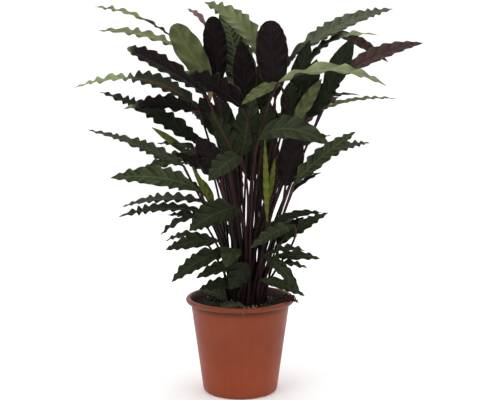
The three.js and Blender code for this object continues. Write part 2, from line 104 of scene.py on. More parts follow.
# Shoot, the blade's base and tip, its width, its bow, the way its upper side faces, its look
# unless it is dark, and what else sets the leaf apart, in the words of the class Leaf
LEAVES = (
    ("back_3", (25, 70, 470), (30, 260, 500), 50, 0.14, UP),
    ("back_3", (22, 62, 400), (8, 84, 575), 50, 0.03, FRONT),
    ("left_high_1", (-95, 10, 655), (-280, 60, 740), 20, 0.1, UP, "pale",
     dict(waves=1.6, wave_length=28, winged_to=0.6, wing_width=0.3)),
    ("left_high_6", (10, -50, 550), (-95, -130, 620), 50, 0.06, BACK_UP, dict(waves=0.8, pale_from=0.94)),
    ("centre_5", (-20, -72, 455), (-65, -100, 545), 36, 0.05, FRONT_UP, "red_rib"),
    ("centre_5", (-25, 40, 465), (-40, 50, 575), 36, 0.04, FRONT, "green", dict(wide=1.3)),
    ("left_high_3", (-55, -25, 595), (-125, 5, 705), 50, 0.04, FRONT, "bright",
     dict(blunt=True, waves=0.45, wave_length=40)),
    ("left_high_3", (-45, -5, 570), (-115, 20, 665), 36, 0.06, FRONT_UP),
    ("left_high_2", (-110, 45, 660), (-275, 75, 695), 22, 0.08, UP, "pale",
     dict(waves=2.0, wave_length=27, winged_to=0.12, wing_width=0.4, turned=(0, -0.58, 0.81))),
    ("left_mid_6", (-55, -20, 465), (-190, -30, 430), 28, 0.08, FRONT_UP, "ribbed"),
    ("left_mid_6", (-50, -10, 370), (-70, -20, 415), 14, 0.06, FRONT_UP, "yellow",
     dict(waves=0.5, wide=0.75)),
    ("top_1", (40, 20, 640), (-65, -20, 745), 46, 0.2, FRONT_UP, "pale"),
    ("top_1", (40, 10, 545), (35, 20, 630), 40, 0.04, FRONT),
    ("top_2", (20, 30, 555), (-35, 40, 745), 62, -0.03, FRONT, "striped"),
    ("top_3", (65, -40, 570), (55, -75, 710), 60, 0.03, BACK, dict(blunt=True, waves=0.6)),
    ("top_3", (40, -45, 480), (55, -55, 565), 36, 0.04, FRONT),
    ("top_4", (25, -10, 555), (15, -45, 675), 46, 0.05, BACK),
    ("top_5", (-35, -15, 590), (-45, -35, 720), 46, 0.04, BACK, dict(blunt=True, waves=0.7)),
    ("top_5", (-65, 25, 705), (-100, 30, 735), 20, 0.08, UP, "withered"),
    ("left_high_4", (-60, -60, 575), (-210, -20, 660), 44, 0.05, BACK_LEAN,
     dict(blunt=True, pale_from=0.98)),
    ("left_high_5", (-75, -45, 550), (-295, -100, 590), 38, 0.24, FRONT_UP, "red_rib",
     dict(end_face=UP, waves=1.3, pale_from=0.62, waist=0.6)),
    ("left_mid_1", (-70, -15, 480), (-260, -30, 580), 40, 0.08, FRONT_UP, dict(end_face=UP)),
    ("left_mid_2", (-60, -40, 535), (-210, -70, 545), 40, 0.12, BACK_LEAN,
     dict(pale_from=0.88, waist=0.3)),
    ("left_mid_2", (-40, 10, 505), (-75, 15, 570), 38, 0.05, FRONT),
    ("left_mid_3", (-105, -45, 445), (-270, -110, 515), 30, 0.05, FRONT_UP, "grey", dict(end_face=UP)),
    ("left_mid_4", (-95, 10, 455), (-170, 30, 510), 16, 0.05, FRONT_UP, "yellow", dict(waves=0.3)),
    ("left_mid_4", (-65, 0, 460), (-160, 20, 480), 22, 0.08, UP),
    ("left_mid_5", (-30, -55, 420), (-70, -80, 500), 50, 0.04, BACK),
    ("left_mid_5", (-45, -35, 425), (-120, -60, 470), 34, 0.05, BACK_UP),
    ("left_mid_7", (-75, -60, 400), (-230, -125, 430), 44, 0.12, FRONT_UP, "ribbed", dict(wave_length=27)),
    ("left_mid_8", (0, -75, 465), (-55, -130, 425), 42, 0.12, FRONT_UP, "green", dict(waves=0.6)),
    ("left_mid_9", (-55, -35, 375), (-90, -45, 450), 12, 0.05, FRONT_UP, "yellow", dict(waves=0.5)),
    ("left_mid_9", (-50, -20, 380), (-120, -10, 420), 24, 0.06, UP),
    ("left_low_1", (-55, -20, 370), (-220, -10, 360), 30, 0.08, UP, "grey"),
    ("left_low_1", (-50, 10, 325), (-140, 30, 340), 30, 0.08, BACK_UP),
    ("left_low_2", (-65, -45, 355), (-225, -70, 350), 32, 0.08, UP, "green"),
    ("left_low_2", (-75, -55, 350), (-145, -85, 320), 20, 0.12, UP, "green"),
    ("left_low_3", (-5, -75, 370), (-90, -130, 335), 54, 0.12, FRONT_UP, "green"),
    ("left_low_4", (-75, 0, 305), (-145, 20, 290), 24, 0.08, UP, "green"),
    ("left_low_4", (-40, -50, 305), (-135, -90, 295), 30, 0.1, FRONT_UP, "green"),
    ("left_low_5", (-25, -60, 285), (-125, -100, 235), 34, 0.16, FRONT_UP, "green", dict(waves=1.3)),
    ("left_low_5", (0, -45, 220), (-75, -70, 215), 26, 0.1, FRONT_UP),
    ("left_low_6", (-5, -50, 260), (-80, -85, 240), 26, 0.1, FRONT_UP, "green", dict(waves=1.3)),
    ("left_low_6", (-10, -65, 290), (-25, -115, 265), 38, 0.14, FRONT_UP, "green", dict(waves=1.3)),
    ("left_low_6", (5, -40, 260), (-25, -60, 215), 38, 0.06, FRONT),
    ("right_high_1", (95, 15, 645), (290, 40, 735), 42, 0.08, UP_FRONT, "silver",
     dict(winged_to=0.2, wing_width=0.8)),
    ("right_high_2", (100, 5, 575), (130, 5, 675), 34, 0.05, FRONT),
    ("right_high_2", (115, 20, 595), (260, 10, 685), 26, 0.24, UP, dict(pale_from=0.66)),
    ("right_high_3", (175, 60, 695), (290, 90, 635), 24, 0.08, BACK_LEAN, "brown", dict(waves=0.6)),
    ("right_high_4", (185, 10, 605), (340, -20, 670), 38, 0.1, BACK_LEAN, "brown", dict(waves=0.6)),
    ("right_high_5", (160, -20, 580), (210, -30, 680), 40, 0.03, FRONT, dict(waves=0.6)),
    ("right_high_6", (70, -60, 605), (260, -100, 600), 44, 0.14, UP, "pale",
     dict(waves=0.75, wave_length=44)),
    ("right_high_7", (80, -60, 595), (10, -110, 560), 24, 0.1, FRONT_UP, "bright", dict(waves=0.5)),
    ("right_high_7", (95, -30, 530), (95, -30, 600), 40, 0.03, FRONT),
    ("right_high_8", (125, -40, 535), (185, -70, 605), 44, 0.05, FRONT_UP),
    ("right_high_8", (100, -50, 525), (150, -60, 605), 24, 0.04, FRONT, "bright"),
    ("right_high_9", (120, 20, 530), (300, 40, 565), 16, 0.08, UP, "bright"),
    ("right_high_9", (120, 40, 545), (235, 80, 570), 18, 0.1, UP),
    ("right_mid_1", (35, -60, 495), (160, -120, 490), 54, 0.26, FRONT_UP, "green",
     dict(waves=0.35, wave_length=34)),
    ("right_mid_2", (115, -20, 520), (185, -10, 570), 32, 0.06, BACK_LEAN, "brown"),
    ("right_mid_2", (75, 0, 490), (60, 10, 565), 40, 0.06, BACK),
    ("right_mid_3", (85, -45, 405), (105, -75, 510), 50, 0.05, BACK, dict(waves=0.7)),
    ("right_mid_4", (100, -45, 410), (210, -85, 510), 34, 0.06, FRONT_UP, "ribbed"),
    ("right_mid_5", (115, 10, 425), (250, 40, 480), 36, 0.1, UP, "grey"),
    ("right_mid_5", (100, 0, 390), (155, 10, 425), 14, 0.06, UP),
    ("right_mid_6", (95, 0, 465), (175, 0, 500), 28, 0.06, UP, "green"),
    ("centre_1", (45, -55, 340), (40, -75, 500), 15, 0.03, FRONT, "yellow", dict(waves=0.4, wide=0.7)),
    ("centre_2", (55, -50, 380), (65, -65, 460), 14, 0.03, FRONT, "yellow", dict(waves=0.4, wide=0.7)),
    ("centre_4", (10, -60, 455), (30, -70, 570), 42, 0.04, FRONT, "green", dict(wide=1.2)),
    ("right_low_1", (55, -45, 330), (150, -70, 360), 22, 0.1, UP_FRONT),
    ("right_low_2", (80, -30, 300), (165, -45, 355), 24, 0.06, FRONT_UP, "green", dict(waves=1.25)),
    ("right_low_2", (70, -20, 290), (120, -35, 345), 28, 0.06, BACK, dict(waves=1.25)),
    ("right_low_3", (100, -55, 335), (20, -100, 300), 26, 0.1, FRONT_UP, "green", dict(waves=1.25)),
    ("right_low_4", (55, -55, 280), (120, -85, 290), 20, 0.1, UP_FRONT, "green", dict(waves=1.25)),
    ("right_low_4", (45, -60, 280), (110, -95, 215), 24, 0.16, FRONT_UP, "green", dict(waves=1.25)),
    ("right_low_5", (65, -40, 270), (150, -60, 270), 20, 0.1, FRONT_UP, "green", dict(waves=1.25)),
    ("right_low_5", (60, -45, 255), (125, -75, 255), 20, 0.1, UP, "green", dict(waves=1.25)),
    ("right_low_6", (40, -60, 230), (120, -85, 205), 22, 0.12, FRONT_UP, "green", dict(waves=1.25)),
    ("back_1", (-40, 90, 480), (-100, 235, 528), 48, 0.14, UP),
    ("back_1", (30, 90, 560), (35, 245, 618), 46, 0.14, UP),
    ("back_2", (60, 65, 590), (110, 230, 640), 44, 0.14, UP),
    ("back_2", (75, 60, 500), (150, 205, 535), 46, 0.14, UP),
    ("back_2", (100, 60, 490), (150, 75, 640), 54, 0.04, FRONT),
    ("back_4", (-30, 60, 400), (-130, 175, 425), 42, 0.12, UP),
    ("back_4", (-20, 50, 300), (-85, 135, 300), 32, 0.12, UP),
    ("back_4", (-8, 58, 330), (-30, 80, 500), 44, 0.04, BACK),
    ("back_5", (70, 60, 390), (165, 160, 420), 42, 0.12, UP),
    ("back_5", (55, 50, 300), (120, 130, 310), 32, 0.12, UP),
    ("back_5", (48, 58, 350), (52, 82, 520), 46, 0.04, FRONT),
)
DRY_LEAF = ((80, -8, 185.8), (108, -20, 185.3), 13, 0.04, (0, -0.2, 1))
OLD_LEAF = ((8, -46, 175.5), (-45, -68, 174.5), 26, 0.06, (0, -0.3, 1))

# The waves of a blade's edges. Those of leaves that begin at LOW_LEAF and HIGH_LEAF have these two
# lengths, times a number of the spread. Their heights are shares of the leaf's width.
WAVE_LENGTHS = (20, 23)
LOW_LEAF = 350
HIGH_LEAF = 550
WAVE_SPREAD = (0.85, 1.1)
WAVE_HEIGHTS = (0.09, 0.13)
WAVE_TILT = 0.2
WAVE_ROUNDNESS = 0.35
WAVE_WANDER = 0.56
WAVE_STRENGTH = 0.8
STRENGTH_CHANGE = 1.1
WAVE_REACH = 2.2
FEWEST_WAVES = 2
EDGE_SHIFT = 0.1
# The waves rise over the first seventh of a blade and fade over the last sixth.
WAVES_RISE = 7
WAVES_FADE = 6
# How fast each random value changes along a blade, beside its waves, and its layer of the noise
DRIFTS = {"wander": (0.6, 0), "ragged": (2.5, 5), "strength": (0.5, 9)}

# The rest of the finer shape of the visible leaves
FOLD_CURVE = 1.15
PLEAT_HEIGHT = 0.02
SCALLOP = 0.025
RAGGEDNESS = 0.03
BLUNT_RAGGEDNESS = 0.07
SHEET_THICKNESS = 0.5
ROW_LENGTH = 1.8
FEWEST_ROWS = 20
COLUMNS = 17
TUBE_ROWS = 30
TUBE_SIDES = 12
JOINT_SWELL = 0.6
JOINT_PLACE = 0.95
JOINT_LENGTH = 0.04
MIDRIB_SIDES = 8
MIDRIB_END = 0.97
MIDRIB_END_RADIUS = 0.3
MIDRIB_SINK = 0.9
WAIST_LENGTH = 0.07
# Where a wing widens, where it turns green, and where an end turns pale: shares of the blade's
# length before and after the place that the leaf has for it
WING_WIDENS = (-0.2, 0.1)
WING_GREENS = (-0.2, 0.05)
END_PALES = (-0.08, 0.1)

# Looks of a blade: sRGB of its upper side between the veins, on the veins, and on the midrib,
# how strongly the side veins and the midrib show, and the look of its underside.
LOOKS = {
    "dark": ((20, 24, 15), (38, 44, 27), (46, 51, 32), 0.4, 0.35, "purple"),
    "red_rib": ((24, 29, 17), (44, 50, 31), (92, 42, 34), 0.4, 0.8, "purple"),
    "green": ((26, 32, 19), (52, 58, 37), (64, 70, 47), 0.4, 0.5, "purple"),
    "ribbed": ((29, 36, 22), (72, 81, 52), (80, 87, 62), 0.4, 0.6, "purple"),
    "grey": ((42, 47, 34), (77, 82, 63), (80, 85, 64), 0.5, 0.5, "purple"),
    "silver": ((47, 52, 38), (88, 94, 73), (84, 88, 68), 0.35, 0.5, "purple"),
    "striped": ((29, 38, 23), (96, 107, 76), (100, 108, 80), 1.0, 0.7, "purple"),
    # pale: a lighter green that is mostly painted sheen, of light grazing the upper side
    "pale": ((82, 91, 58), (126, 134, 98), (110, 106, 76), 0.15, 0.5, "russet"),
    "bright": ((66, 72, 42), (106, 111, 73), (104, 110, 72), 0.18, 0.4, "purple"),
    "yellow": ((72, 80, 26), (104, 110, 48), (110, 114, 62), 0.12, 0.4, "lime"),
    # brown: leaves that show their russet underside, painted as lit from behind
    "brown": ((30, 35, 22), (50, 54, 36), (70, 60, 44), 0.4, 0.6, "russet"),
    "withered": ((84, 60, 62), (118, 88, 88), (84, 60, 60), 0.6, 0.5, "russet"),
    "scrap": ((28, 18, 14), (58, 40, 30), (46, 31, 24), 0.8, 0.5, "scrap"),
    "sheath": ((104, 88, 62), (136, 118, 88), (116, 98, 70), 0.3, 0.3, "sheath"),
}
UNDERSIDES = {
    "purple": ((16, 11, 11), (33, 23, 23), (34, 23, 23), 0.4, 0.3),
    # russet: a paler, redder copy of the purple underside, painted as lit from behind
    "russet": ((50, 37, 35), (78, 59, 56), (84, 54, 50), 0.45, 0.5),
    "lime": ((70, 78, 28), (98, 106, 48), (110, 112, 62), 0.12, 0.4),
    "scrap": ((28, 18, 14), (54, 37, 28), (46, 31, 24), 0.8, 0.5),
    "sheath": ((104, 88, 62), (136, 118, 88), (116, 98, 70), 0.3, 0.3),
}
PALE_END = (128, 142, 100)
WINGED_STALK = (46, 33, 30)
# The thin rim that lightens the edge of a purple underside
PALE_RIMS = {"underside_purple": (94, 84, 64)}
# How much the wave crests are lightened and the troughs darkened: painted highlight and painted shade
CREST_PAINTED_HIGHLIGHT = 0.4
GREEN_SHEEN = (0.62, 0.72, 0.55, 1)
PURPLE_SHEEN = (0.62, 0.5, 0.52, 1)
RED_SHEEN = (0.8, 0.45, 0.45, 1)

# sRGB colours of the other pieces; a pair is blended
STALK_FOOT = ((16, 10, 10), (34, 20, 20))
STALK_NECK = ((30, 16, 16), (58, 33, 29))
STALK_MAGENTA = (60, 27, 31)
POT_BROWN = ((128, 52, 23), (136, 60, 31))
POT_FLOW = (140, 76, 50)
POT_SPECKS = (80, 40, 24)
# Soil and painted shade on the pot: inside, in the groove under the rim, and outside towards the top
POT_SOIL_AND_SHADE = (34, 20, 15)
SOIL_BROWN = ((16, 13, 11), (46, 36, 29))
SOIL_SPECKS = (96, 78, 60)
PERLITE_GREY = ((120, 112, 100), (176, 170, 158))
STRAW_TAN = ((82, 56, 36), (122, 92, 62))


# Helpers
def linear(srgb):
    """An sRGB colour of 0 to 255 as linear red, green, blue and alpha."""
    return tuple(((c / 255 + 0.055) / 1.055) ** 2.4 if c > 10 else c / 255 / 12.92 for c in srgb) + (1,)


def smoothstep(x, low, high):
    x = min(max((x - low) / (high - low), 0.0), 1.0)
    return x * x * (3 - 2 * x)


def fade(t, place, span):
    return smoothstep(t, place + span[0], place + span[1])


def vector(*numbers):
    return np.array(numbers, float)


def circle(count, first=0):
    """The cosine and sine of each of so many directions round a circle."""
    turns = [first + 2 * math.pi * k / count for k in range(count)]
    return [(math.cos(a), math.sin(a)) for a in turns]


def unit(v):
    return v / np.linalg.norm(v)


def square(direction, along):
    return unit(direction - along * (direction @ along))


class Bezier:
    """A Bezier curve of three or four points."""

    def __init__(self, *points):
        self.points = [np.array(p, float) for p in points]

    def point(self, t):
        p = self.points
        while len(p) > 1:
            p = [a + (b - a) * t for a, b in zip(p, p[1:])]
        return p[0]

    def tangent(self, t):
        return unit(self.point(min(t + 1e-4, 1)) - self.point(max(t - 1e-4, 0)))

    def length(self):
        p = [self.point(i / 200) for i in range(201)]
        return sum(np.linalg.norm(b - a) for a, b in zip(p, p[1:]))


# The leaves as the CAD model places them
@dataclass
class Leaf:
    """A leaf with the measures of the CAD model, and what sets its finer shape apart."""

    base: tuple
    tip: tuple
    width: float
    bow: float
    face: tuple
    look: str = "dark"
    tint: float = 0
    in_turn: bool = True  # whether its two edges wave in turn
    end_face: tuple = None  # the way its upper side faces at its tip, where it twists
    blunt: bool = False
    waves: float = 1  # how strongly its edges wave
    wave_length: float = None  # the length of its waves, where it isn't the usual one
    pale_from: float = 1.1  # the share of its length from which its end is pale
    waist: float = 0  # how much narrower it is where its end turns pale
    winged_to: float = -1  # the share of its length up to which it is a dark wing along the stalk
    wing_width: float = 1  # the share of its width that it has as a wing
    wide: float = 1  # the share of its CAD width that it has
    turned: tuple = None  # the way its upper side faces in place of the CAD model's

    def __post_init__(self):
        self.base = vector(*self.base)
        self.tip = vector(*self.tip)
        self.step = np.zeros(3)
        self.belly = np.zeros(3)
        self.turn_to(self.face, self.end_face or self.face)

    def turn_to(self, *faces):
        self.faces = [unit(vector(*face)) for face in faces]

    def stand(self, place, index, count):
        """Takes its foot's place: the leaves of one shoot stand round the shoot's own."""
        self.foot = place
        self.foot_radius = FOOT_RADIUS
        if count > 1:
            self.foot = place + vector(*circle(count)[index]) * FOOT_IN_SHOOT / 2
            self.foot_radius = SHARED_FOOT_RADIUS

    def face_at(self, t):
        start, end = self.faces
        return start + (end - start) * smoothstep(t, TURN_FROM, TURN_TO)

    def blade(self):
        base = self.base + self.step
        tip = self.tip + self.step
        chord = tip - base
        up = square(self.faces[0], unit(chord))
        middle = (base + tip) / 2 + up * 2 * self.bow * np.linalg.norm(chord)
        return Bezier(base, middle, tip)

    def stalk(self):
        blade = self.blade()
        start = vector(*self.foot, SOIL_TOP)
        rise = blade.points[0][2] - SOIL_TOP
        into = unit(blade.tangent(0) + vector(0, 0, STALK_LIFT))
        low = start + vector(0, 0, STALK_UPRIGHT * rise) + self.belly
        high = blade.points[0] - into * STALK_ARCH * rise
        return Bezier(start, low, high, blade.points[0])

    def stalk_radius(self, t, z):
        """Wide at the sheath round the stalk's foot, and narrow at its neck below the blade."""
        sheath = min(max(1 - (z - SOIL_TOP) / SHEATH_LENGTH, 0), 1)
        plain = STALK_RADIUS + (NECK_RADIUS - STALK_RADIUS) * t
        return plain + (self.foot_radius - plain) * sheath

    def half_width(self, t):
        skew = BLUNT_SKEW if self.blunt else BLADE_SKEW
        fullness = BLUNT_FULLNESS if self.blunt else BLADE_FULLNESS
        return self.width / 2 * max(math.sin(math.pi * t**skew), 0) ** fullness

    def slimming(self, t):
        """The share of its CAD width that the blade keeps here."""
        wing = self.wing_width + (1 - self.wing_width) * fade(t, self.winged_to, WING_WIDENS)
        waist = 1 - self.waist * math.exp(-(((t - self.pale_from) / WAIST_LENGTH) ** 2))
        return wing * waist * self.wide


def foot_places():
    places = []
    rows = math.ceil(CLUMP_RADIUS / FOOT_SPACING)
    for j in range(-rows, rows + 1):
        for i in range(-rows - 1, rows + 2):
            x = FIRST_FOOT[0] + (i + (0.5 if j % 2 else 0)) * FOOT_SPACING
            y = FIRST_FOOT[1] + j * FOOT_SPACING * math.cos(math.pi / 6)
            if math.hypot(x, y) < CLUMP_RADIUS:
                places.append(vector(CLUMP_X + x, y))
    return places


def take_feet(shoots):
    """A place in the clump for each shoot: those that lean most stand outside."""
    places = foot_places()
    clump = vector(CLUMP_X, 0, SOIL_TOP)
    leans = {}
    for name, leaves in shoots.items():
        rises = [leaf.base - clump for leaf in leaves]
        leans[name] = sum(rise[:2] / rise[2] for rise in rises) / len(rises)
    order = sorted(shoots, key=lambda name: -np.linalg.norm(leans[name]))
    feet = {}
    for i, name in enumerate(order):
        wish = clump[:2] + unit(leans[name]) * CLUMP_RADIUS * math.sqrt(1 - (i + 0.5) / len(order))
        near = min(range(len(places)), key=lambda k: np.linalg.norm(places[k] - wish))
        feet[name] = places.pop(near)
    return feet


def node_points(name):
    mesh = nodes[name].data
    points = np.empty(len(mesh.vertices) * 3, np.float32)
    mesh.vertices.foreach_get("co", points)
    return points.reshape(-1, 3).astype(float) / MM


def misfit(ring, points):
    """How far a predicted ring of vertices is from the solid's own, at its middle vertex in rank."""
    return np.median(np.linalg.norm(ring[:, None] - points[None], axis=2).min(axis=1))


def blade_end(leaf):
    """The corners of the CAD blade at its tip."""
    blade = leaf.blade()
    along = blade.tangent(1)
    up = square(leaf.face_at(1), along)
    side = np.cross(along, up)
    thick = BLADE_THICKNESS / 2
    rise = BLADE_FOLD * TIP_HALF_WIDTH
    corners = [(-1, rise + thick), (0, thick), (1, rise + thick), (1, rise - thick)]
    corners += [(0, -thick - RIB_DEPTH), (-1, rise - thick)]
    return np.array([blade.points[2] + side * a * TIP_HALF_WIDTH + up * b for a, b in corners])


def stalk_ring(leaf):
    """The lowest ring of corners that the CAD stalk has above its foot."""
    stalk = leaf.stalk()
    up = square(leaf.faces[0], leaf.blade().tangent(0))
    for i in range(STALK_STEPS - 1, 0, -1):
        along = stalk.tangent(i / STALK_STEPS)
        up = square(up, along)
    side = np.cross(along, up)
    centre = stalk.point(1 / STALK_STEPS)
    radius = leaf.stalk_radius(1 / STALK_STEPS, centre[2])
    return np.array([centre + (side * x + up * y) * radius for x, y in circle(6, math.pi / 6)])


def find_place(leaf, points):
    """Finds the step and the belly with which the CAD model clears this leaf from its neighbours."""
    end = blade_end(leaf)
    tried = []
    for step in product(*(range(-most, most + 1) for most in MOST_STEPS)):
        tried.append((misfit(end + vector(*step) * MOVE_STEP, points), step))
    leaf.step = vector(*min(tried)[1]) * MOVE_STEP
    tried = []
    for way in BELLIES:
        leaf.belly = vector(*way, 0) * BELLY
        tried.append((misfit(stalk_ring(leaf), points), way))
    leaf.belly = vector(*min(tried)[1], 0) * BELLY


# Meshes
def new_object(name, data):
    thing = bpy.data.objects.new(name, data)
    bpy.context.scene.collection.objects.link(thing)
    return thing


class Shape:
    """Collects the vertices, faces and surface values of one piece."""

    def __init__(self):
        self.points = []
        self.faces = []
        self.slots = []
        self.values = {"rib": [], "pleat": [], "tint": [], "end": []}
        self.materials = []

    def slot(self, material):
        if material not in self.materials:
            self.materials.append(material)
        return self.materials.index(material)

    def add(self, points, faces, material, **values):
        start = len(self.points)
        self.points.extend(points)
        self.faces.extend(tuple(start + i for i in f) for f in faces)
        self.slots.extend([self.slot(material)] * len(faces))
        for key, stored in self.values.items():
            value = values.get(key, 0.0)
            stored.extend([value] * len(points) if np.ndim(value) == 0 else value)
        return start

    def mesh(self, name):
        mesh = bpy.data.meshes.new(name)
        mesh.from_pydata([tuple(p * MM) for p in self.points], [], self.faces)
        return mesh

    def build(self, name, sharp=50):
        mesh = self.mesh(name)
        for material in self.materials:
            mesh.materials.append(material)
        mesh.polygons.foreach_set("material_index", self.slots)
        mesh.polygons.foreach_set("use_smooth", [True] * len(self.faces))
        for key, value in self.values.items():
            mesh.attributes.new(key, "FLOAT", "POINT").data.foreach_set("value", value)
        mesh.update()
        mesh.validate()
        mesh.set_sharp_from_angle(angle=math.radians(sharp))
        piece = new_object(name, mesh)
        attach(piece, "root")
        return piece


def grid_faces(rows, columns, start=0, flip=False, wrap=False):
    faces = []
    for i in range(rows - 1):
        for j in range(columns if wrap else columns - 1):
            a = start + i * columns + j
            b = start + i * columns + (j + 1) % columns
            quad = (a, a + columns, b + columns, b)
            faces.append(quad[::-1] if flip else quad)
    return faces


def add_tube(shape, centres, radii, material, tint, sides=TUBE_SIDES):
    """A closed round tube along a row of centres."""
    rows = len(centres)
    tangents = [unit(centres[min(i + 1, rows - 1)] - centres[max(i - 1, 0)]) for i in range(rows)]
    up = vector(0, 1, 0) if abs(tangents[0][1]) < 0.9 else vector(1, 0, 0)
    points = []
    for centre, along, radius in zip(centres, tangents, radii):
        up = square(up, along)
        side = np.cross(along, up)
        points += [centre + (side * x + up * y) * radius for x, y in circle(sides)]
    faces = grid_faces(rows, sides, flip=True, wrap=True)
    faces.append(tuple(range(sides))[::-1])
    faces.append(tuple((rows - 1) * sides + k for k in range(sides)))
    values = np.repeat(np.linspace(0, 1, rows), sides)
    shape.add(points, faces, material, rib=values, tint=tint)


def drift(kind, waved, seed):
    """A random value that changes slowly along a blade, by the number of its waves up to here."""
    pace, layer = DRIFTS[kind]
    return noise.noise((waved * pace, seed + layer, 0.0))


def add_sheet(shape, above, below, values, top, under):
    """A thin sheet between two grids of points with COLUMNS points to a row, closed by a rim."""
    count = len(above)
    rows = count // COLUMNS
    last = COLUMNS - 1
    start = shape.add(np.concatenate((above, below)), grid_faces(rows, COLUMNS), top, **values)
    faces = grid_faces(rows, COLUMNS, start + count, flip=True)
    for i in range(rows - 1):
        a = start + i * COLUMNS
        faces.append((a, a + count, a + COLUMNS + count, a + COLUMNS))
        b = a + last
        faces.append((b + COLUMNS, b + COLUMNS + count, b + count, b))
    for j in range(last):
        a = start + j
        faces.append((a + 1, a + 1 + count, a + count, a))
        b = a + (rows - 1) * COLUMNS
        faces.append((b, b + count, b + 1 + count, b + 1))
    shape.faces.extend(faces)
    shape.slots.extend([shape.slot(under)] * len(faces))


def add_blade(shape, leaf, top, under):
    """The blade: a thin sheet that waves along both edges, with pleats along its side veins."""
    blade = leaf.blade()
    length = blade.length()
    rows = max(int(length / ROW_LENGTH), FEWEST_ROWS)
    usual = np.interp(leaf.base[2], (LOW_LEAF, HIGH_LEAF), WAVE_LENGTHS) * rng.uniform(*WAVE_SPREAD)
    waves = max(length / (leaf.wave_length or usual), FEWEST_WAVES)
    across = np.linspace(-1, 1, COLUMNS)
    out = np.abs(across)
    shift = rng.uniform(0, 1)
    offset = 0.5 * leaf.in_turn + rng.uniform(-EDGE_SHIFT, EDGE_SHIFT)
    seed = rng.uniform(0, 100)
    tall = rng.uniform(*WAVE_HEIGHTS) * leaf.width * leaf.waves
    raggedness = BLUNT_RAGGEDNESS if leaf.blunt else RAGGEDNESS
    above, below, pleats, ends = [], [], [], []
    for i in range(rows + 1):
        t = i / rows
        waved = t * waves
        up = square(leaf.face_at(t), blade.tangent(t))
        side = np.cross(blade.tangent(t), up)
        least = NECK_RADIUS if i == 0 else TIP_HALF_WIDTH
        plain = max(leaf.half_width(t) * leaf.slimming(t), least)
        full = min(1, WAVES_RISE * t) * min(1, WAVES_FADE * (1 - t))
        phase = waved + shift + WAVE_WANDER * drift("wander", waved, seed)
        phase = phase - out * plain * waves / length + np.where(across > 0, offset, 0)
        edge = np.sin(2 * math.pi * phase + WAVE_TILT * np.sin(2 * math.pi * phase))
        edge = edge * (1 + WAVE_ROUNDNESS - WAVE_ROUNDNESS * edge**2)
        ragged = raggedness * drift("ragged", waved, seed)
        half = plain * (1 + full * (SCALLOP * leaf.waves * edge * out**3 + ragged))
        strength = WAVE_STRENGTH + STRENGTH_CHANGE * drift("strength", waved, seed)
        pleat = PLEAT_HEIGHT * leaf.width * out**0.6 * (1 - 0.6 * out)
        rise = BLADE_FOLD * plain * out**FOLD_CURVE
        rise = rise + full * tall * strength * out**WAVE_REACH * edge
        rise = rise + full * pleat * np.sin(4 * math.pi * phase)
        sheet = blade.point(t) + np.outer(across * half, side) + np.outer(rise, up)
        thick = SHEET_THICKNESS / 2 * (1 - 0.5 * out)
        above.append(sheet + np.outer(thick, up))
        below.append(sheet - np.outer(thick, up))
        pleats.append(phase * 2)
        pale = fade(t, leaf.pale_from, END_PALES)
        brown = 1 - fade(t, leaf.winged_to, WING_GREENS)
        ends.append(pale - brown)
    values = {
        "rib": np.tile(out, 2 * (rows + 1)),
        "pleat": np.tile(np.concatenate(pleats), 2),
        "tint": leaf.tint,
        "end": np.tile(np.repeat(ends, COLUMNS), 2),
    }
    add_sheet(shape, np.concatenate(above), np.concatenate(below), values, top, under)


def add_stalk(shape, leaf, rib_material):
    """The stalk from its root end, widened to a sheath at its foot and swollen at the joint below
    the blade, and the midrib that goes on from it under the blade."""
    stalk = leaf.stalk()
    blade = leaf.blade()
    shares = [i / TUBE_ROWS for i in range(TUBE_ROWS + 1)]
    centres = [stalk.point(0) - vector(0, 0, HOLE_DEPTH - HOLE_CLEARANCE)]
    radii = [leaf.foot_radius]
    for t in shares:
        centre = stalk.point(t)
        joint = JOINT_SWELL * math.exp(-(((t - JOINT_PLACE) / JOINT_LENGTH) ** 2))
        centres.append(centre)
        radii.append(leaf.stalk_radius(t, centre[2]) + joint)
    add_tube(shape, centres, radii, stalk_material, leaf.tint)
    centres = []
    radii = []
    for t in shares:
        radius = NECK_RADIUS + (MIDRIB_END_RADIUS - NECK_RADIUS) * min(t * 1.15, 1) ** 0.7
        up = square(leaf.face_at(t), blade.tangent(t))
        centres.append(blade.point(t * MIDRIB_END) - up * MIDRIB_SINK * radius)
        radii.append(radius)
    add_tube(shape, centres, radii, rib_material, leaf.tint, sides=MIDRIB_SIDES)


